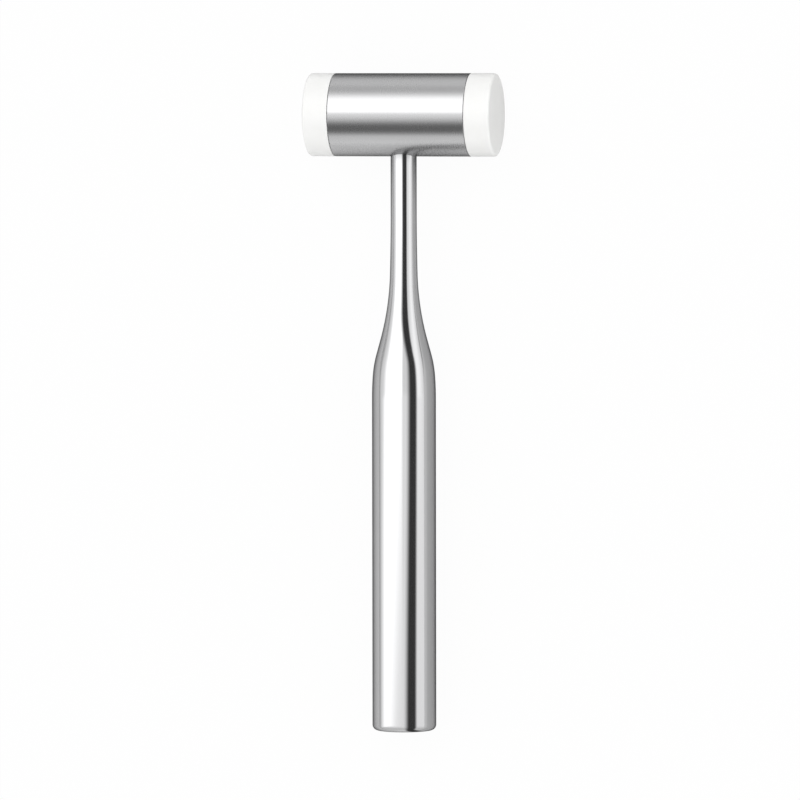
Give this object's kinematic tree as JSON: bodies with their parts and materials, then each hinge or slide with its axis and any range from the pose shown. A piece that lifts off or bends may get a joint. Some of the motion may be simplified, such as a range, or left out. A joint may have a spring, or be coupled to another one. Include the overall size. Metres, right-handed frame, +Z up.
{
  "type": "surgical mallet",
  "caption": "Surgical mallet with a cylindrical steel head, white nylon striking faces and a slim-necked, hollow polished steel handle, lying on its side.",
  "frame": {"origin": "centre of the footprint of the mallet, on the surface that it lies on", "axes": "+X along the head, +Y from the butt towards the head, +Z up from the surface; the handle dips by about one degree towards its butt"},
  "size_m": [0.0582, 0.2012, 0.0254],
  "materials": {
    "satin_steel": "satin, turned and fine-brushed round the head",
    "polished_steel": "mirror polished stainless steel",
    "nylon": "turned white nylon, fine satin"
  },
  "bodies": {
    "root": {"head_body": "satin_steel", "face_left": "nylon", "face_right": "nylon", "handle": "polished_steel", "end_plug": "polished_steel"}
  },
  "joints": []
}
